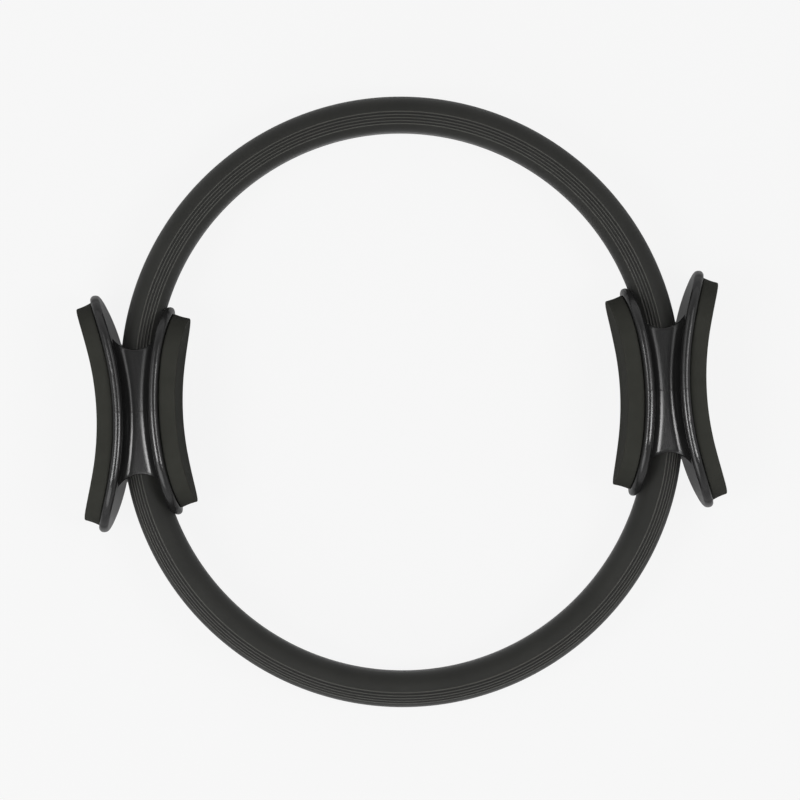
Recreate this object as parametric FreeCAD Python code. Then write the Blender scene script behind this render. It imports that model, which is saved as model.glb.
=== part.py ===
import FreeCAD, Part
import math
import os

# Pilates ring: a sprung hoop in two ribbed sleeves, with a padded saddle grip clamped on at each side.
# The ring lies flat: +Z is the hoop's axis, +X runs from grip to grip, and the grips stand on Z = 0.

# Hoop: two half hoops of flat spring leaf, straight for a short run inside each grip
hoop_radius = 157.0
straight_run = 30.2
leaf_thickness = 2.0
leaf_width = 18.0
leaf_gap = 0.2
leaf_end_gap = 2.0

# Sleeves: soft ribbed extrusions threaded over the leaves
sleeve_thickness = 22.0
sleeve_width = 26.0
sleeve_corner = 6.0
sleeve_entry = 11.0
groove_count = 5
groove_pitch = 1.7
groove_width = 0.9
groove_depth = 0.6
groove_inset = 1.0

# Grip halves: a saddle flange with a half neck, clamped on the leaves from inside and outside
waist_thickness = 26.8
neck_length = 74.0
neck_depth = 34.0
neck_fillet = 6.0
flange_thickness = 5.8
flange_depth = 70.0
outer_flange_length = 146.0
inner_flange_length = 127.0
outer_saddle_radius = 178.0
inner_saddle_radius = 186.0
rim_round = 2.5
mouth_lap = 0.6

# Foam pads glued on the flanges
outer_pad_thickness = 9.8
inner_pad_thickness = 10.2
pad_margin = 4.5

# Clamp screws: through both halves and the leaves, hidden under the pads
screw_diameter = 4.0
screw_first = 8.5
screw_pitch = 11.0
head_diameter = 7.5
head_height = 2.6
washer_diameter = 9.0
washer_thickness = 0.8
nut_flats = 7.0
nut_height = 3.2
seat_depth = 5.0
screw_tip = 0.6

# Fits
seat_clearance = 0.3
glue_gap = 0.2
parting_gap = 0.2
thread_gap = 0.1
cut_overrun = 4.0

# Places that follow from the sizes
origin = FreeCAD.Vector(0, 0, 0)
up = FreeCAD.Vector(0, 0, 1)
hoop_centre = FreeCAD.Vector(0, straight_run / 2, 0)
sleeve_end = neck_length / 2 - sleeve_entry
stack_half = leaf_gap / 2 + leaf_thickness
screw_places = [side * (screw_first + step * screw_pitch) for side in (-1, 1) for step in (0, 1)]


def face_in_xz(edges):
    """Flat face from edges drawn in the XZ plane."""
    return Part.Face(Part.Wire(Part.__sortEdges__(edges)))


def line_edges(points):
    """Straight edges through points given as (x, z)."""
    places = [FreeCAD.Vector(x, 0, z) for x, z in points]
    return [Part.makeLine(a, b) for a, b in zip(places, places[1:])]


def rectangle(low, high, half_depth):
    """Corners of a closed rectangle, as (x, z)."""
    return [(low, -half_depth), (high, -half_depth), (high, half_depth), (low, half_depth), (low, -half_depth)]


def arc_edge(x, z, radius, start):
    """Quarter arc about (x, z) from the start angle, in degrees, anticlockwise in the XZ plane."""
    angles = [math.radians(start + share) for share in (0, 45, 90)]
    places = [FreeCAD.Vector(x + radius * math.cos(a), 0, z + radius * math.sin(a)) for a in angles]
    return Part.Arc(*places).toShape()


def angle_at(height):
    """Angle round a half hoop, in degrees, where its centre line reaches this height above the grip's middle."""
    return math.degrees(math.asin((height - straight_run / 2) / hoop_radius))


def turned(face, start):
    """Face in the XZ plane carried round the upper half hoop, from the start angle to the same angle opposite."""
    placed = face.copy()
    placed.translate(hoop_centre)
    placed.rotate(hoop_centre, up, start)
    return placed.revolve(hoop_centre, up, 180 - 2 * start)


def mirrored_in_y(shape):
    return shape.mirror(origin, FreeCAD.Vector(0, 1, 0))


def mirrored_in_x(shape):
    return shape.mirror(origin, FreeCAD.Vector(1, 0, 0))


def cross_rod(diameter, start_x, end_x, y):
    """Round rod along X between two places."""
    place = FreeCAD.Vector(start_x, y, 0)
    return Part.makeCylinder(diameter / 2, end_x - start_x, place, FreeCAD.Vector(1, 0, 0))


def leaf_band(inner, outer, half_width, end):
    """Upper half hoop of rectangular section with a straight tail at each end."""
    rise = straight_run / 2
    edges = []
    for radius in (inner, outer):
        arch = [FreeCAD.Vector(radius, rise, 0), FreeCAD.Vector(0, rise + radius, 0), FreeCAD.Vector(-radius, rise, 0)]
        edges.append(Part.Arc(*arch).toShape())
        for x in (-radius, radius):
            edges.append(Part.makeLine(FreeCAD.Vector(x, rise, 0), FreeCAD.Vector(x, end, 0)))
    for side in (-1, 1):
        edges.append(Part.makeLine(FreeCAD.Vector(side * inner, end, 0), FreeCAD.Vector(side * outer, end, 0)))
    band = Part.Face(Part.Wire(Part.__sortEdges__(edges))).extrude(2 * half_width * up)
    band.translate(-half_width * up)
    return band


def spring_leaf(inner):
    """One leaf of the upper half hoop, with clearance holes for the clamp screws."""
    leaf = leaf_band(inner, inner + leaf_thickness, leaf_width / 2, leaf_end_gap / 2)
    hole = screw_diameter + 2 * seat_clearance
    reach = hoop_radius + waist_thickness / 2
    holes = [cross_rod(hole, -reach, reach, y) for y in screw_places if y > 0]
    return leaf.cut(holes)


def sleeve_section(grow, grooved):
    """Rounded section about the leaves, grown by a clearance, with V grooves along its front and back."""
    half_x = sleeve_thickness / 2 + grow
    half_z = sleeve_width / 2 + grow
    corner = sleeve_corner + grow
    flat_x = half_x - corner
    flat_z = half_z - corner
    front = [(flat_x, half_z)]
    for index in range(groove_count if grooved else 0):
        middle = (groove_count - 1) / 2 * groove_pitch - index * groove_pitch - groove_inset
        front.append((middle + groove_width / 2, half_z))
        front.append((middle, half_z - groove_depth))
        front.append((middle - groove_width / 2, half_z))
    front.append((-flat_x, half_z))
    back = [(x, -z) for x, z in front]
    edges = []
    for points in (front, back, [(half_x, -flat_z), (half_x, flat_z)], [(-half_x, -flat_z), (-half_x, flat_z)]):
        edges += line_edges([(hoop_radius + x, z) for x, z in points])
    for side_x, side_z, start in ((1, 1, 0), (-1, 1, 90), (-1, -1, 180), (1, -1, 270)):
        edges.append(arc_edge(hoop_radius + side_x * flat_x, side_z * flat_z, corner, start))
    return face_in_xz(edges)


def leaf_envelope():
    """Room for the pair of leaves all round the upper half hoop."""
    half = stack_half + seat_clearance
    return leaf_band(hoop_radius - half, hoop_radius + half, leaf_width / 2 + seat_clearance, 0)


def stadium(half_length, half_depth):
    """Stadium outline in the YZ plane: straight sides and round ends."""
    straight = half_length - half_depth
    edges = []
    for side in (-1, 1):
        angles = (-math.pi / 2, 0, math.pi / 2)
        places = [FreeCAD.Vector(0, side * (straight + half_depth * math.cos(a)), half_depth * math.sin(a))
                  for a in angles]
        edges.append(Part.Arc(*places).toShape())
    for z in (-half_depth, half_depth):
        edges.append(Part.makeLine(FreeCAD.Vector(0, -straight, z), FreeCAD.Vector(0, straight, z)))
    return Part.Wire(Part.__sortEdges__(edges))


def saddle_sector(inner, outer, half_depth, half_length):
    """Curved slab between two radii about the saddle's axis, a little longer than the plate cut from it."""
    section = face_in_xz(line_edges(rectangle(inner, outer, half_depth)))
    half_angle = math.degrees((half_length + cut_overrun) / inner)
    section.rotate(origin, up, -half_angle)
    return section.revolve(origin, up, 2 * half_angle)


def flange(radius, length):
    """Saddle flange: a curved plate with a stadium outline and its rim rounded on both faces."""
    outer = radius + flange_thickness
    end_angle = length / 2 / outer
    outline = stadium(outer * math.sin(end_angle), flange_depth / 2)
    outline.translate(FreeCAD.Vector(radius * math.cos(end_angle) - cut_overrun, 0, 0))
    prism = Part.Face(outline).extrude(FreeCAD.Vector(outer, 0, 0))
    plate = prism.common(saddle_sector(radius, outer, flange_depth, length / 2))
    rim = []
    for edge in plate.Edges:
        reach = [math.hypot(v.X, v.Y) for v in edge.Vertexes]
        if max(reach) - min(reach) < flange_thickness / 2:
            rim.append(edge)
    return plate.makeFillet(rim_round, rim)


def pad(radius, thickness, length, depth):
    """Foam pad: cut flat to a stadium and bent on to the saddle, so its edges stay square to its faces."""
    front = radius - thickness
    outline = stadium(radius * math.tan(length / 2 / radius), depth / 2)
    sections = []
    for distance in (front * math.cos(length / 2 / radius) - cut_overrun, radius + cut_overrun):
        spread = FreeCAD.Matrix()
        spread.scale(1, distance / radius, 1)
        section = outline.transformGeometry(spread)
        section.translate(FreeCAD.Vector(distance, 0, 0))
        sections.append(section)
    return Part.makeLoft(sections, True, True).common(saddle_sector(front, radius, depth, length / 2))


def neck(radius):
    """Half neck: a grooved profile turned about the saddle's axis, with a U-shaped mouth at each end."""
    root = radius + flange_thickness
    bite = root - mouth_lap
    middle = radius + waist_thickness / 2
    half_neck = neck_length / 2
    mouth_radius = (middle ** 2 + half_neck ** 2 - bite ** 2) / (2 * bite - neck_length)
    mouth_y = half_neck + mouth_radius
    tip = bite + 2 * mouth_radius
    half_z = neck_depth / 2
    shoulder = half_z + neck_fillet
    buried = radius + flange_thickness / 2
    edges = line_edges([(root, shoulder), (buried, shoulder), (buried, -shoulder), (root, -shoulder)])
    edges += line_edges([(root + neck_fillet, -half_z), (tip, -half_z), (tip, half_z), (root + neck_fillet, half_z)])
    edges.append(arc_edge(root + neck_fillet, shoulder, neck_fillet, 180))
    edges.append(arc_edge(root + neck_fillet, -shoulder, neck_fillet, 90))
    end_angle = math.degrees(math.atan2(mouth_y, middle))
    profile = face_in_xz(edges)
    profile.rotate(origin, up, -end_angle)
    body = profile.revolve(origin, up, 2 * end_angle)
    cuts = []
    for side in (-1, 1):
        place = FreeCAD.Vector(middle, side * mouth_y, -flange_depth)
        cuts.append(Part.makeCylinder(mouth_radius, 2 * flange_depth, place))
    beyond = FreeCAD.Vector(middle - parting_gap / 2, -tip, -flange_depth)
    cuts.append(Part.makeBox(tip, 2 * tip, 2 * flange_depth, beyond))
    return body.cut(cuts)


def place_outside(shape):
    """From the saddle's own axis to the outer side of the right grip."""
    placed = shape.copy()
    placed.rotate(origin, up, 180)
    placed.translate(FreeCAD.Vector(hoop_radius + waist_thickness / 2 + outer_saddle_radius, 0, 0))
    return placed


def place_inside(shape):
    """From the saddle's own axis to the inner side of the right grip."""
    placed = shape.copy()
    placed.translate(FreeCAD.Vector(hoop_radius - waist_thickness / 2 - inner_saddle_radius, 0, 0))
    return placed


def hex_bar(flats, start_x, end_x, y):
    """Hexagonal bar along X between two places."""
    corner = flats / math.sqrt(3)
    angles = [math.radians(60 * step) for step in range(7)]
    points = [FreeCAD.Vector(start_x, y + corner * math.cos(a), corner * math.sin(a)) for a in angles]
    return Part.Face(Part.makePolygon(points)).extrude(FreeCAD.Vector(end_x - start_x, 0, 0))


# Where heads and nuts seat inside the right grip's two halves
head_seat = hoop_radius - waist_thickness / 2 + seat_depth
nut_seat = hoop_radius + waist_thickness / 2 - seat_depth
under_head = head_seat - washer_thickness
bore = screw_diameter + 2 * seat_clearance


def clamp_screws():
    screws = []
    for y in screw_places:
        shank = cross_rod(screw_diameter, under_head, nut_seat + nut_height + screw_tip, y)
        head = cross_rod(head_diameter, under_head - head_height, under_head, y)
        screws.append(shank.fuse(head).removeSplitter())
    return Part.makeCompound(screws)


def clamp_washers():
    washers = []
    for y in screw_places:
        disc = cross_rod(washer_diameter, under_head, head_seat, y)
        washers.append(disc.cut(cross_rod(screw_diameter + 2 * thread_gap, under_head, head_seat, y)))
    return Part.makeCompound(washers)


def clamp_nuts():
    nuts = []
    for y in screw_places:
        block = hex_bar(nut_flats, nut_seat, nut_seat + nut_height, y)
        thread = cross_rod(screw_diameter + 2 * thread_gap, nut_seat, nut_seat + nut_height, y)
        nuts.append(block.cut(thread))
    return Part.makeCompound(nuts)


def grip_half(radius, length, place, hollows):
    """Flange and half neck in one moulding, hollowed for the hoop and the clamp screws."""
    body = flange(radius, length).fuse(neck(radius)).removeSplitter()
    return place(body).cut(hollows).removeSplitter()


def right_grip():
    """Every piece of the grip on the +X side, by its plain name."""
    sleeve_room = turned(sleeve_section(seat_clearance, False), angle_at(sleeve_end - seat_clearance))
    leaf_room = leaf_envelope()
    hoop_rooms = [sleeve_room, mirrored_in_y(sleeve_room), leaf_room, mirrored_in_y(leaf_room)]
    holes = [cross_rod(bore, head_seat, nut_seat, y) for y in screw_places]
    past_inside = head_seat - seat_depth - cut_overrun
    past_outside = nut_seat + seat_depth + cut_overrun
    head_pockets = [cross_rod(washer_diameter + 2 * seat_clearance, past_inside, head_seat, y) for y in screw_places]
    nut_pockets = [hex_bar(nut_flats + 2 * seat_clearance, nut_seat, past_outside, y) for y in screw_places]
    pieces = {
        "outer_half": grip_half(outer_saddle_radius, outer_flange_length, place_outside,
                                hoop_rooms + holes + nut_pockets),
        "inner_half": grip_half(inner_saddle_radius, inner_flange_length, place_inside,
                                hoop_rooms + holes + head_pockets),
    }
    pads = (("outer_pad", outer_saddle_radius, outer_pad_thickness, outer_flange_length, place_outside),
            ("inner_pad", inner_saddle_radius, inner_pad_thickness, inner_flange_length, place_inside))
    for name, radius, thickness, length, place in pads:
        size = (length - 2 * pad_margin, flange_depth - 2 * pad_margin)
        pieces[name] = place(pad(radius - glue_gap, thickness, *size))
    pieces["clamp_screws"] = clamp_screws()
    pieces["clamp_washers"] = clamp_washers()
    pieces["clamp_nuts"] = clamp_nuts()
    return pieces


def hoop():
    """Leaves and sleeves of both half hoops."""
    half_slit = stack_half + seat_clearance
    slit = rectangle(hoop_radius - half_slit, hoop_radius + half_slit, leaf_width / 2 + seat_clearance)
    section = sleeve_section(0, True).cut(face_in_xz(line_edges(slit))).Faces[0]
    upper = {
        "outer_leaf": spring_leaf(hoop_radius + leaf_gap / 2),
        "inner_leaf": spring_leaf(hoop_radius - leaf_gap / 2 - leaf_thickness),
        "sleeve": turned(section, angle_at(sleeve_end)),
    }
    pieces = {}
    for name, shape in upper.items():
        pieces["upper_" + name] = shape
        pieces["lower_" + name] = mirrored_in_y(shape)
    return pieces


def main():
    os.makedirs("parts", exist_ok=True)
    nodes = hoop()
    for name, shape in right_grip().items():
        nodes["right_" + name] = shape
        nodes["left_" + name] = mirrored_in_x(shape)
    for name, shape in nodes.items():
        shape.translate(FreeCAD.Vector(0, 0, flange_depth / 2))
        shape.exportStep("parts/" + name + ".step")
        print(name, len(shape.Solids), "solids", round(shape.Volume), "mm3, valid", shape.isValid())


main()
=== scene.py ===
import math

import bmesh
import bpy
import numpy as np
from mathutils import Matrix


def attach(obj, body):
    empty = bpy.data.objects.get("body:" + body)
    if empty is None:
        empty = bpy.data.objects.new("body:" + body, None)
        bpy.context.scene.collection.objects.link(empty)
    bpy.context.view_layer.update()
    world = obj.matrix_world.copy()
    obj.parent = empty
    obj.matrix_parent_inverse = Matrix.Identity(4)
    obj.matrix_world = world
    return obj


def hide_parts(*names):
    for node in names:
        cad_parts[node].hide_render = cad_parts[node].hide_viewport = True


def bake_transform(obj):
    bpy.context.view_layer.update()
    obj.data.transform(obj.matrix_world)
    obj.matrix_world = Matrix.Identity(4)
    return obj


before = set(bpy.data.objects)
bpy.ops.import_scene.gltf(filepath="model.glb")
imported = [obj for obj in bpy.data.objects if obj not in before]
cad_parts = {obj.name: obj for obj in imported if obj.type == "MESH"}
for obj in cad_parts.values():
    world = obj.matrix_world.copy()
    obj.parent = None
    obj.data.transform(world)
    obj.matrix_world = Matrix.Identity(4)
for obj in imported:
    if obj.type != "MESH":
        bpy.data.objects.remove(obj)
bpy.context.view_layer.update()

# Spring leaves: four strips of glass fibre that give the hoop its spring, two to each half hoop.
# They are flat strips bent into half circles, end to end inside the grips and drilled for the clamp screws.
# They stay hidden in the sleeves. In the real ring they bend with the hoop when the grips are pressed
# together; here they are not made to bend.
hoop_level = 0.035
same_place = 1e-6
strand_scale = 420.0
strand_stretch = (1, 1, 9)


def bend_with_hoop(piece):
    """Bakes the piece's placement into its mesh; nothing makes it follow the grips or bend."""
    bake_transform(piece)


def put_in_scene(name, data):
    """An object for a mesh, a lamp or a camera, linked into the scene."""
    placed = bpy.data.objects.new(name, data)
    bpy.context.scene.collection.objects.link(placed)
    return placed


def copy_of_solid(node, name):
    """A piece of its own with the shape of a CAD solid, its loose triangles joined up."""
    shell = bmesh.new()
    shell.from_mesh(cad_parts[node].data)
    bmesh.ops.remove_doubles(shell, verts=shell.verts, dist=same_place)
    mesh = bpy.data.meshes.new(name)
    shell.to_mesh(mesh)
    shell.free()
    return put_in_scene(name, mesh)


def new_material(name, **settings):
    """A material with one Principled BSDF, its plain sockets set; returns it, its tree and its shader."""
    material = bpy.data.materials.new(name)
    material.use_nodes = True
    tree = material.node_tree
    shader = tree.nodes["Principled BSDF"]
    for socket, value in settings.items():
        shader.inputs[socket.replace("_", " ")].default_value = value
    return material, tree, shader


def feed(tree, socket, value):
    """Links another socket into this one, or sets it to a plain value."""
    if isinstance(value, bpy.types.NodeSocket):
        tree.links.new(value, socket)
    else:
        socket.default_value = value


# Places of the colour sockets on a Mix node
mix_share = 0
mix_first = 6
mix_second = 7
mix_colour = 2


def colour_mix(tree, share, first, second):
    """Two colours mixed by a share, each a socket or a plain value; returns the mixed colour."""
    mix = tree.nodes.new("ShaderNodeMix")
    mix.data_type = "RGBA"
    feed(tree, mix.inputs[mix_share], share)
    feed(tree, mix.inputs[mix_first], first)
    feed(tree, mix.inputs[mix_second], second)
    return mix.outputs[mix_colour]


def effect_group(name, inputs, output):
    """A node group with a Place vector, more inputs and one output; returns it and its inner sockets."""
    group = bpy.data.node_groups.new(name, "ShaderNodeTree")
    for socket, kind in (("Place", "NodeSocketVector"), *inputs):
        group.interface.new_socket(socket, in_out="INPUT", socket_type=kind)
    group.interface.new_socket(output[0], in_out="OUTPUT", socket_type=output[1])
    given = group.nodes.new("NodeGroupInput").outputs
    result = group.nodes.new("NodeGroupOutput").inputs[0]
    return group, given, result


def effect(tree, group, **values):
    """A node group placed in a material, its inputs set or fed from sockets; returns its output."""
    node = tree.nodes.new("ShaderNodeGroup")
    node.node_tree = group
    for socket, value in values.items():
        feed(tree, node.inputs[socket], value)
    return node.outputs[0]


tone_inputs = (("Scale", "NodeSocketFloat"), ("Dark", "NodeSocketColor"), ("Light", "NodeSocketColor"))
tone_patches, given, result = effect_group("tone_patches", tone_inputs, ("Tone", "NodeSocketColor"))
clouds = tone_patches.nodes.new("ShaderNodeTexNoise")
clouds.inputs["Detail"].default_value = 5.0
spread = tone_patches.nodes.new("ShaderNodeMapRange")
spread.inputs["From Min"].default_value = 0.30
spread.inputs["From Max"].default_value = 0.72
tone_patches.links.new(given["Place"], clouds.inputs["Vector"])
tone_patches.links.new(given["Scale"], clouds.inputs["Scale"])
tone_patches.links.new(clouds.outputs["Fac"], spread.inputs["Value"])
between = colour_mix(tone_patches, spread.outputs["Result"], given["Dark"], given["Light"])
tone_patches.links.new(between, result)

grain_inputs = (("Scale", "NodeSocketFloat"),)
fine_grain, given, result = effect_group("fine_grain", grain_inputs, ("Height", "NodeSocketFloat"))
specks = fine_grain.nodes.new("ShaderNodeTexNoise")
specks.inputs["Detail"].default_value = 3.0
fine_grain.links.new(given["Place"], specks.inputs["Vector"])
fine_grain.links.new(given["Scale"], specks.inputs["Scale"])
fine_grain.links.new(specks.outputs["Fac"], result)


def bump_on(tree, shader, height, depth, strength=1.0):
    """Bumps from a height socket, of a depth in metres, fed to the shader's normal."""
    bump = tree.nodes.new("ShaderNodeBump")
    bump.inputs["Distance"].default_value = depth
    bump.inputs["Strength"].default_value = strength
    tree.links.new(height, bump.inputs["Height"])
    tree.links.new(bump.outputs["Normal"], shader.inputs["Normal"])


glass_fibre, tree, shader = new_material("glass_fibre", Roughness=0.42)
coords = tree.nodes.new("ShaderNodeTexCoord").outputs["Object"]
strands = tree.nodes.new("ShaderNodeMapping")
strands.inputs["Scale"].default_value = strand_stretch
tree.links.new(coords, strands.inputs["Vector"])
along = strands.outputs["Vector"]
tone = effect(tree, tone_patches, Place=along, Scale=strand_scale,
              Dark=(0.050, 0.056, 0.045, 1), Light=(0.120, 0.128, 0.098, 1))
tree.links.new(tone, shader.inputs["Base Color"])
grain = effect(tree, fine_grain, Place=along, Scale=strand_scale)
bump_on(tree, shader, grain, depth=0.0002, strength=0.4)

for node in ("upper_outer_leaf", "upper_inner_leaf", "lower_outer_leaf", "lower_inner_leaf"):
    leaf = copy_of_solid(node, "spring_" + node)
    leaf.data.materials.append(glass_fibre)
    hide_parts(node)
    bend_with_hoop(leaf)

# Sleeves: two soft rubber tubes, one to each half hoop, extruded with fine ribs along the front and back.
# Each is threaded over its leaves before the grips are clamped on, and its ends sit in the grips' mouths.
# The upper one lies with its ribs turned a little inwards, the lower one with its ribs turned outwards.
hoop_radius = 0.157
hoop_rise = 0.0151
sleeve_half = (0.0108, 0.0128)
sleeve_corner = 0.0100
bore_half = (0.0024, 0.0093)
bore_corner = 0.0003
sleeve_foot = 0.0260
sleeve_steps = 141
rib_pitch = 0.0018
rib_count = 5
rib_width = 0.0013
rib_height = 0.00030
gap_depth = 0.00022
rib_points = 12
plain_points = 34
upper_turn = -0.0028
lower_turn = 0.0050
# Painted highlight: the tops of the ribs are coloured lighter than the plain skin.
rib_highlight_colour = (0.054, 0.054, 0.048, 1)
# Painted shade: the gaps between the ribs are coloured darker, on top of their real depth.
gap_shade_colour = (0.008, 0.008, 0.007, 1)


def quads_of_rings(steps, count, points):
    """Four-cornered faces between one ring and the next, for a number of steps, all the way round each ring.

    Rings are numbered point by point, and the step after the last ring leads back to the first.
    """
    ring, point = np.meshgrid(np.arange(steps), np.arange(points), indexing="ij")
    next_ring = (ring + 1) % count
    next_point = (point + 1) % points
    corners = (ring * points + point, ring * points + next_point,
               next_ring * points + next_point, next_ring * points + point)
    return np.stack(corners, axis=-1).reshape(-1, 4).tolist()


def smooth_piece(name, places, faces):
    """A smooth-shaded piece from an array of points and a list of faces."""
    mesh = bpy.data.meshes.new(name)
    mesh.from_pydata(places.tolist(), [], faces)
    mesh.shade_smooth()
    return put_in_scene(name, mesh)


def shell_of_rings(name, rings):
    """A closed shell through rings of points, an array (rings, points, 3): the last ring joins the first."""
    count, points = rings.shape[:2]
    return smooth_piece(name, rings.reshape(-1, 3), quads_of_rings(count, count, points))


def rounded_section(half, corner, share):
    """A rectangle with round corners, walked from the middle of its front towards the outside of the hoop.

    The share of the way round is looked up in the lengths of its flats and corners. That gives a point of
    the core rectangle and the way the surface faces there. The section is the core plus the corner radius
    that way. Its points, the ways they face and its length round are returned.
    """
    flat_x = half[0] - corner
    flat_z = half[1] - corner
    quarter = corner * math.pi / 2
    lengths = [0, flat_x, quarter, 2 * flat_z, quarter, 2 * flat_x, quarter, 2 * flat_z, quarter, flat_x]
    walk = np.cumsum(lengths)
    core_x = np.array([0, 1, 1, 1, 1, -1, -1, -1, -1, 0]) * flat_x
    core_z = np.array([1, 1, 1, -1, -1, -1, -1, 1, 1, 1]) * flat_z
    facing = np.radians([0, 0, 90, 90, 180, 180, 270, 270, 360, 360])
    place = share * walk[-1]
    angle = np.interp(place, walk, facing)
    normal = np.stack([np.sin(angle), np.cos(angle)], axis=-1)
    core = np.stack([np.interp(place, walk, core_x), np.interp(place, walk, core_z)], axis=-1)
    return core + corner * normal, normal, walk[-1]


def ribbed_section(turn):
    """The sleeve's outer section: the round-cornered one with ribs standing on it.

    A rib is a smooth bead: the square of one less the square of the distance from its middle. Between two
    ribs the skin dips by what is missing of a bead. The band of ribs is centred a distance called turn
    outside the middle of the front, and again at the back.
    """
    round_length = rounded_section(sleeve_half, sleeve_corner, np.zeros(1))[2]
    band = rib_count * rib_pitch / 2
    fine = np.linspace(-band, band, rib_points * rib_count + 1)
    plain = np.linspace(band, round_length / 2 - band, plain_points)[1:-1]
    from_band = np.concatenate([fine, plain])
    place = np.concatenate([from_band, from_band + round_length / 2]) + turn
    shares = (place / round_length) % 1.0
    points, normal, _ = rounded_section(sleeve_half, sleeve_corner, shares)
    from_rib = (from_band + rib_pitch / 2) % rib_pitch - rib_pitch / 2
    bead = np.clip(1 - (2 * from_rib / rib_width) ** 2, 0, 1) ** 2 * (np.abs(from_band) < band)
    gap = (1 - bead) * (np.abs(from_band) < band - rib_pitch / 2)
    lift = np.tile(rib_height * bead - gap_depth * gap, 2)
    ribs = np.tile(bead - gap, 2)
    return points + lift[:, None] * normal, shares, ribs


def along_half_hoop(section, angles, side):
    """A section carried round a half hoop: x of the section is away from the hoop's middle, z is up."""
    reach = hoop_radius + section[None, :, 0]
    x = reach * np.cos(angles)[:, None]
    y = side * (hoop_rise + reach * np.sin(angles)[:, None])
    z = np.broadcast_to(hoop_level + section[None, :, 1], x.shape)
    return np.stack([x, y, z], axis=-1)


def sleeve(name, side, turn):
    """Outer skin from one end to the other, then back through the bore, as one closed shell.

    A rib attribute says how high each point is, from minus one between two ribs to one on top of a rib.
    """
    foot = math.asin((sleeve_foot - hoop_rise) / hoop_radius)
    angles = np.linspace(foot, math.pi - foot, sleeve_steps)
    outside, shares, ribs = ribbed_section(turn)
    inside, _, _ = rounded_section(bore_half, bore_corner, shares)
    rings = [along_half_hoop(outside, angles, side), along_half_hoop(inside, angles, side)[::-1]]
    standing = np.concatenate([np.tile(ribs, (angles.size, 1)), np.zeros((angles.size, ribs.size))])
    piece = shell_of_rings(name, np.concatenate(rings)[:, ::side])
    heights = piece.data.attributes.new("rib", "FLOAT", "POINT")
    heights.data.foreach_set("value", standing[:, ::side].ravel())
    return piece


ribbed_rubber, tree, shader = new_material("ribbed_rubber", Sheen_Weight=0.20, Sheen_Roughness=0.50)
shader.inputs["Specular IOR Level"].default_value = 0.20
coords = tree.nodes.new("ShaderNodeTexCoord").outputs["Object"]
dull = effect(tree, tone_patches, Place=coords, Scale=38.0,
              Dark=(0.0096, 0.0097, 0.0082, 1), Light=(0.0140, 0.0141, 0.0122, 1))
rib = tree.nodes.new("ShaderNodeAttribute")
rib.attribute_name = "rib"
# Painted highlight: a lighter colour is mixed in on top of each rib, by the rib attribute.
ribs_with_painted_highlight = colour_mix(tree, rib.outputs["Fac"], dull, rib_highlight_colour)
# Painted shade: a darker colour is mixed in between the ribs, where the rib attribute is below zero.
gap_shade_share = tree.nodes.new("ShaderNodeMath")
gap_shade_share.operation = "MULTIPLY"
gap_shade_share.inputs[1].default_value = -1.0
tree.links.new(rib.outputs["Fac"], gap_shade_share.inputs[0])
shaded = colour_mix(tree, gap_shade_share.outputs["Value"], ribs_with_painted_highlight, gap_shade_colour)
tree.links.new(shaded, shader.inputs["Base Color"])
polish = tree.nodes.new("ShaderNodeMapRange")
polish.inputs["To Min"].default_value = 0.62
polish.inputs["To Max"].default_value = 0.36
tree.links.new(rib.outputs["Fac"], polish.inputs["Value"])
tree.links.new(polish.outputs["Result"], shader.inputs["Roughness"])
grain = effect(tree, fine_grain, Place=coords, Scale=1500.0)
bump_on(tree, shader, grain, depth=0.00012, strength=0.4)

for name, side, turn in (("upper_sleeve", 1, upper_turn), ("lower_sleeve", -1, lower_turn)):
    tube = sleeve("ribbed_" + name, side, turn)
    tube.data.materials.append(ribbed_rubber)
    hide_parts(name)
    bend_with_hoop(tube)

# Grip halves: four glossy plastic mouldings, an outer and an inner half to each grip, clamped over the hoop.
# Each is one saddle: a curved flange with a rounded rim and half of the waisted neck, with a U-shaped mouth
# at each end for the sleeves.
joint_gap = 0.0002
shown_gap = 0.00004
joint_overrun = 0.003
mould_step = 0.0006
mould_passes = 9
mould_draft = 0.005
mould_crown = 0.40
crown_reach = 0.037
front_from = 0.0138
front_blend = 0.003
crisp_angle = math.radians(55)
mould_line_half = 0.0004
mould_line_height = 0.00008


def points_of(mesh):
    """The mesh's vertices as an array (points, 3)."""
    places = np.empty(len(mesh.vertices) * 3, np.float32)
    mesh.vertices.foreach_get("co", places)
    return places.reshape(-1, 3)


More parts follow.
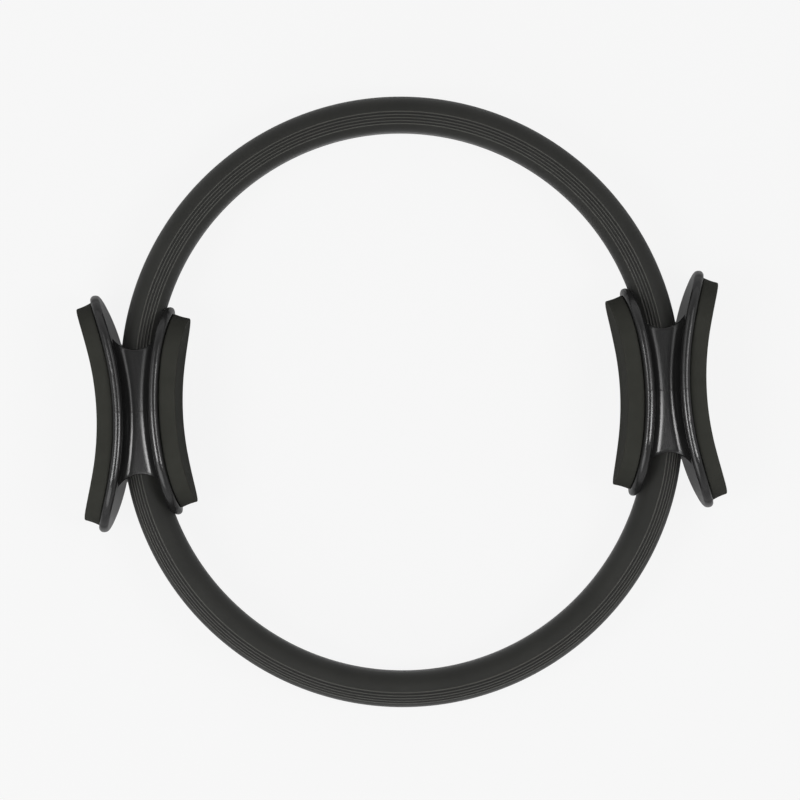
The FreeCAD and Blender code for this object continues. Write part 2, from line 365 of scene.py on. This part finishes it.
def moulded_half(node, side, outwards):
    """A grip half with its edges rounded as a mould leaves them, and its joint with the other half crisp.

    The joint face is drawn out past the joint, and the whole is cut into even cells and evened out. Then its
    front and back fall off from the middle of the grip, by a slope for the mould's draft and the square of
    the distance for its crown. What stands past the joint is cut away again and the cut is closed.
    """
    piece = copy_of_solid(node, "moulded_" + node)
    joint = side * (hoop_radius + outwards * joint_gap / 2)
    places = points_of(piece.data)
    places[np.abs(places[:, 0] - joint) < joint_gap / 4, 0] -= side * outwards * joint_overrun
    piece.data.vertices.foreach_set("co", places.ravel())
    cells = piece.modifiers.new("cells", "REMESH")
    cells.mode = "VOXEL"
    cells.voxel_size = mould_step
    evened = piece.modifiers.new("evened", "SMOOTH")
    evened.factor = 0.5
    evened.iterations = mould_passes
    finished = bpy.data.meshes.new_from_object(piece.evaluated_get(bpy.context.evaluated_depsgraph_get()))
    piece.modifiers.clear()
    piece.data = finished
    places = points_of(finished)
    height = places[:, 2] - hoop_level
    front = np.clip((np.abs(height) - front_from) / front_blend, 0, 1) * np.sign(height)
    from_middle = np.minimum(np.abs(places[:, 1]), crown_reach)
    places[:, 2] -= (mould_draft * from_middle + mould_crown * from_middle ** 2) * front
    finished.vertices.foreach_set("co", places.ravel())
    trimmed = bmesh.new()
    trimmed.from_mesh(finished)
    joint = side * (hoop_radius + outwards * shown_gap / 2)
    past = (-side * outwards, 0, 0)
    everything = trimmed.verts[:] + trimmed.edges[:] + trimmed.faces[:]
    cut = bmesh.ops.bisect_plane(trimmed, geom=everything, plane_co=(joint, 0, 0), plane_no=past,
                                 clear_outer=True)
    rim = [edge for edge in cut["geom_cut"] if isinstance(edge, bmesh.types.BMEdge)]
    bmesh.ops.triangle_fill(trimmed, edges=rim, use_beauty=True, normal=past)
    trimmed.to_mesh(finished)
    trimmed.free()
    finished.shade_smooth()
    finished.set_sharp_from_angle(angle=crisp_angle)
    return piece


gloss_moulding, tree, shader = new_material("gloss_moulding", Roughness=0.22)
coords = tree.nodes.new("ShaderNodeTexCoord").outputs["Object"]
tone = effect(tree, tone_patches, Place=coords, Scale=60.0,
              Dark=(0.0085, 0.0085, 0.0085, 1), Light=(0.0115, 0.0115, 0.0115, 1))
tree.links.new(tone, shader.inputs["Base Color"])
apart = tree.nodes.new("ShaderNodeSeparateXYZ")
tree.links.new(coords, apart.inputs["Vector"])
off_line = tree.nodes.new("ShaderNodeMath")
off_line.operation = "ABSOLUTE"
tree.links.new(apart.outputs["Y"], off_line.inputs[0])
mould_line = tree.nodes.new("ShaderNodeMapRange")
mould_line.inputs["From Max"].default_value = mould_line_half
mould_line.inputs["To Min"].default_value = 1.0
mould_line.inputs["To Max"].default_value = 0.0
tree.links.new(off_line.outputs["Value"], mould_line.inputs["Value"])
bump_on(tree, shader, mould_line.outputs["Result"], depth=mould_line_height)

for grip, side, body in (("left", -1, "hoop_and_left_grip"), ("right", 1, "right_grip")):
    for half, outwards in (("outer_half", 1), ("inner_half", -1)):
        node = f"{grip}_{half}"
        moulding = moulded_half(node, side, outwards)
        moulding.data.materials.append(gloss_moulding)
        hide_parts(node)
        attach(moulding, body)

# Clamp fasteners: four screws with washers and nuts to each grip, of zinc-plated steel.
# They run through both halves and the leaves from the inner side, and the pads cover them.
plated_steel, tree, shader = new_material("plated_steel", Metallic=1.0, Roughness=0.34)
coords = tree.nodes.new("ShaderNodeTexCoord").outputs["Object"]
plating_scale = 700.0
tone = effect(tree, tone_patches, Place=coords, Scale=plating_scale,
              Dark=(0.46, 0.47, 0.48, 1), Light=(0.60, 0.61, 0.60, 1))
tree.links.new(tone, shader.inputs["Base Color"])
grain = effect(tree, fine_grain, Place=coords, Scale=plating_scale)
bump_on(tree, shader, grain, depth=0.00005, strength=0.4)

for grip in ("left", "right"):
    for kind in ("clamp_screws", "clamp_washers", "clamp_nuts"):
        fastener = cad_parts[grip + "_" + kind]
        fastener.data.materials.clear()
        fastener.data.materials.append(plated_steel)

# Pads: four slabs of closed-cell foam, one glued on each flange. Each is die-cut from flat sheet to a
# stadium and bent on to the saddle, so its cut edge stays square to its face, with a small roll where the
# knife pressed.
pad_roll = 0.0005
pad_crown = 0.0003
crown_power = 6
pad_waist = 0.00025
pad_half_depth = 0.0305
face_rings = 25
roll_rings = 6
side_rings = 12
outline_points = 240
saddles = {
    "outer_pad": {"axis": 0.3484, "towards": -1, "glued": 0.1778,
                  "thickness": 0.0098, "half_length": 0.0685},
    "inner_pad": {"axis": -0.0424, "towards": 1, "glued": 0.1858,
                  "thickness": 0.0102, "half_length": 0.0590},
}


def shell_with_poles(name, rings, first, last):
    """A closed shell through rings of points, ended by a fan of triangles at a first and a last point."""
    count, points = rings.shape[:2]
    quads = quads_of_rings(count - 1, count, points)
    here = np.arange(points)
    there = (here + 1) % points
    pole = count * points
    end = (count - 1) * points
    fan_first = np.stack([np.full(points, pole), there, here], axis=-1).tolist()
    fan_last = np.stack([np.full(points, pole + 1), end + here, end + there], axis=-1).tolist()
    places = np.concatenate([rings.reshape(-1, 3), [first], [last]])
    return smooth_piece(name, places, quads + fan_first + fan_last)


def stadium(half_length, half_depth):
    """A stadium walked at even steps: straight sides joined by half circles."""
    straight = half_length - half_depth
    half_turn = math.pi * half_depth
    walk = np.cumsum([0, half_turn, 2 * straight, half_turn, 2 * straight])
    place = np.linspace(0, walk[-1], outline_points, endpoint=False)
    angle = np.interp(place, walk, np.radians([-90, 90, 90, 270, 270]))
    core = np.interp(place, walk, np.array([1, 1, -1, -1, 1]) * straight)
    return np.stack([core + half_depth * np.cos(angle), half_depth * np.sin(angle)], axis=-1)


def foam_pad(name, side, axis, towards, glued, thickness, half_length):
    """Rings from the middle of the face, over the rolled edge, down the cut side and back underneath.

    Each ring is a stadium inset from the outline and scaled to the middle, at a height above the glued
    face. Then it is bent round the saddle's axis, where height takes it towards the axis.
    """
    shares = np.linspace(0, 1, face_rings)[1:]
    under = shares[::-2]
    roll = np.radians(np.linspace(0, 90, roll_rings)[1:])
    drop = np.linspace(0, 1, side_rings)[1:-1]
    edge = thickness - pad_crown
    scale = np.concatenate([shares, np.ones(roll.size + drop.size + roll.size), under])
    inset = np.concatenate([np.full(shares.size, pad_roll), pad_roll * (1 - np.sin(roll)),
                            pad_waist * np.sin(math.pi * drop), pad_roll * (1 - np.sin(roll[::-1])),
                            np.full(under.size, pad_roll)])
    face = thickness - pad_crown * shares ** crown_power
    wall = edge - pad_roll - (edge - 2 * pad_roll) * drop
    height = np.concatenate([face, edge - pad_roll * (1 - np.cos(roll)), wall,
                             pad_roll * (1 - np.cos(roll[::-1])), np.zeros(under.size)])
    outlines = np.stack([stadium(half_length - i, pad_half_depth - i) for i in inset])
    flat = outlines * scale[:, None, None]

    def bent(along, across, height):
        """Round the saddle's axis: along becomes an angle, across is up, height shortens the radius."""
        angle = along / glued
        reach = glued - height
        x = side * (axis + towards * reach * np.cos(angle))
        y = reach * np.sin(angle)
        return np.stack([x, y, hoop_level + across + 0 * x], axis=-1)

    rings = bent(flat[..., 0], flat[..., 1], height[:, None])
    first = bent(np.zeros(1), np.zeros(1), np.array([thickness]))[0]
    last = bent(np.zeros(1), np.zeros(1), np.zeros(1))[0]
    return shell_with_poles(name, rings if side * towards > 0 else rings[:, ::-1], first, last)


pad_foam, tree, shader = new_material("pad_foam", Roughness=0.88)
shader.inputs["Specular IOR Level"].default_value = 0.15
coords = tree.nodes.new("ShaderNodeTexCoord").outputs["Object"]
tone = effect(tree, tone_patches, Place=coords, Scale=90.0,
              Dark=(0.0222, 0.0225, 0.0188, 1), Light=(0.0262, 0.0265, 0.0224, 1))
tree.links.new(tone, shader.inputs["Base Color"])
grain = effect(tree, fine_grain, Place=coords, Scale=1900.0)
bump_on(tree, shader, grain, depth=0.0002, strength=0.6)

for grip, side, body in (("left", -1, "hoop_and_left_grip"), ("right", 1, "right_grip")):
    for kind, saddle in saddles.items():
        pad = foam_pad(f"foam_{grip}_{kind}", side, **saddle)
        pad.data.materials.append(pad_foam)
        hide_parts(f"{grip}_{kind}")
        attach(pad, body)

# Studio: a pale floor under pale walls, two soft boxes at each side, a larger one in front, and a camera
# straight above the ring, turned so that the right grip stands a little higher than the left one.
bpy.context.scene.view_settings.view_transform = "Standard"

floor_half = 4.0
floor_mesh = bpy.data.meshes.new("floor")
corners = [(x * floor_half, y * floor_half, 0) for x, y in ((-1, -1), (1, -1), (1, 1), (-1, 1))]
floor_mesh.from_pydata(corners, [], [(0, 1, 2, 3)])
floor = put_in_scene("floor", floor_mesh)


def seen_as_white(tree, surface, output, seen, reflected):
    """Plain white mixed over a surface by how it is met.

    One share holds where the camera sees it or light passes through glass, the other in reflections. The
    largest share that applies is taken.
    """
    path = tree.nodes.new("ShaderNodeLightPath")
    white = tree.nodes.new("ShaderNodeEmission")
    mix = tree.nodes.new("ShaderNodeMixShader")
    largest = mix.inputs["Fac"]
    shares = (("Is Camera Ray", seen), ("Is Transmission Ray", seen), ("Is Glossy Ray", reflected))
    for ray, share in shares:
        part = tree.nodes.new("ShaderNodeMath")
        part.operation = "MULTIPLY"
        part.inputs[1].default_value = share
        tree.links.new(path.outputs[ray], part.inputs[0])
        either = tree.nodes.new("ShaderNodeMath")
        either.operation = "MAXIMUM"
        either.inputs[1].default_value = 0.0
        tree.links.new(part.outputs["Value"], either.inputs[0])
        tree.links.new(either.outputs["Value"], largest)
        largest = either.inputs[1]
    tree.links.new(surface, mix.inputs[1])
    tree.links.new(white.outputs["Emission"], mix.inputs[2])
    tree.links.new(mix.outputs["Shader"], output)


pale_floor, tree, shader = new_material("pale_floor", Base_Color=(0.34, 0.34, 0.34, 1), Roughness=0.9)
shader.inputs["Specular IOR Level"].default_value = 0.0
floor_output = tree.nodes["Material Output"].inputs["Surface"]
seen_as_white(tree, shader.outputs["BSDF"], floor_output, seen=0.88, reflected=0.10)
floor.data.materials.append(pale_floor)

world = bpy.data.worlds.new("studio")
bpy.context.scene.world = world
world.use_nodes = True
tree = world.node_tree
background = tree.nodes["Background"]
background.inputs["Color"].default_value = (1, 1, 1, 1)
direction = tree.nodes.new("ShaderNodeTexCoord").outputs["Generated"]
upwards = tree.nodes.new("ShaderNodeSeparateXYZ")
walls = tree.nodes.new("ShaderNodeMapRange")
walls.inputs["To Min"].default_value = 0.80
walls.inputs["To Max"].default_value = 0.12
tree.links.new(direction, upwards.inputs["Vector"])
tree.links.new(upwards.outputs["Z"], walls.inputs["Value"])
tree.links.new(walls.outputs["Result"], background.inputs["Strength"])
world_output = tree.nodes["World Output"].inputs["Surface"]
seen_as_white(tree, background.outputs["Background"], world_output, seen=1.0, reflected=0.12)


def soft_box(name, place, turn, size, power):
    """A rectangular lamp at a place, turned about X, Y and Z in degrees."""
    lamp = bpy.data.lights.new(name, "AREA")
    lamp.shape = "RECTANGLE"
    lamp.size, lamp.size_y = size
    lamp.energy = power
    box = put_in_scene(name, lamp)
    box.location = place
    box.rotation_euler = [math.radians(t) for t in turn]


for side, far_power in ((-1, 2.0), (1, 3.4)):
    soft_box("near_box", place=(side * 0.72, -0.18, 1.39), turn=(0, side * 29, 0),
             size=(0.56, 0.30), power=7.6)
    soft_box("far_box", place=(side * 0.76, 0.45, 1.36), turn=(0, side * 31, 0),
             size=(0.60, 1.0), power=far_power)
soft_box("front_box", place=(-0.66, -0.92, 1.05), turn=(48, 0, -36), size=(1.2, 1.0), power=8.6)

camera_distance = 1.734
camera_tilt = math.radians(1.0)
camera_turn = math.radians(-2.36)
image_width = 800
pixel = 0.0006
aim_shift = 1.5 * pixel
camera_data = bpy.data.cameras.new("camera")
camera_data.sensor_width = 36.0
camera_data.lens = camera_data.sensor_width * camera_distance / (image_width * pixel)
camera = put_in_scene("camera", camera_data)
camera.rotation_euler = (camera_tilt, 0, camera_turn)
aim = np.array([-aim_shift, aim_shift, hoop_level])
camera.location = aim + camera_distance * np.array(camera.rotation_euler.to_matrix().col[2])
bpy.context.scene.camera = camera
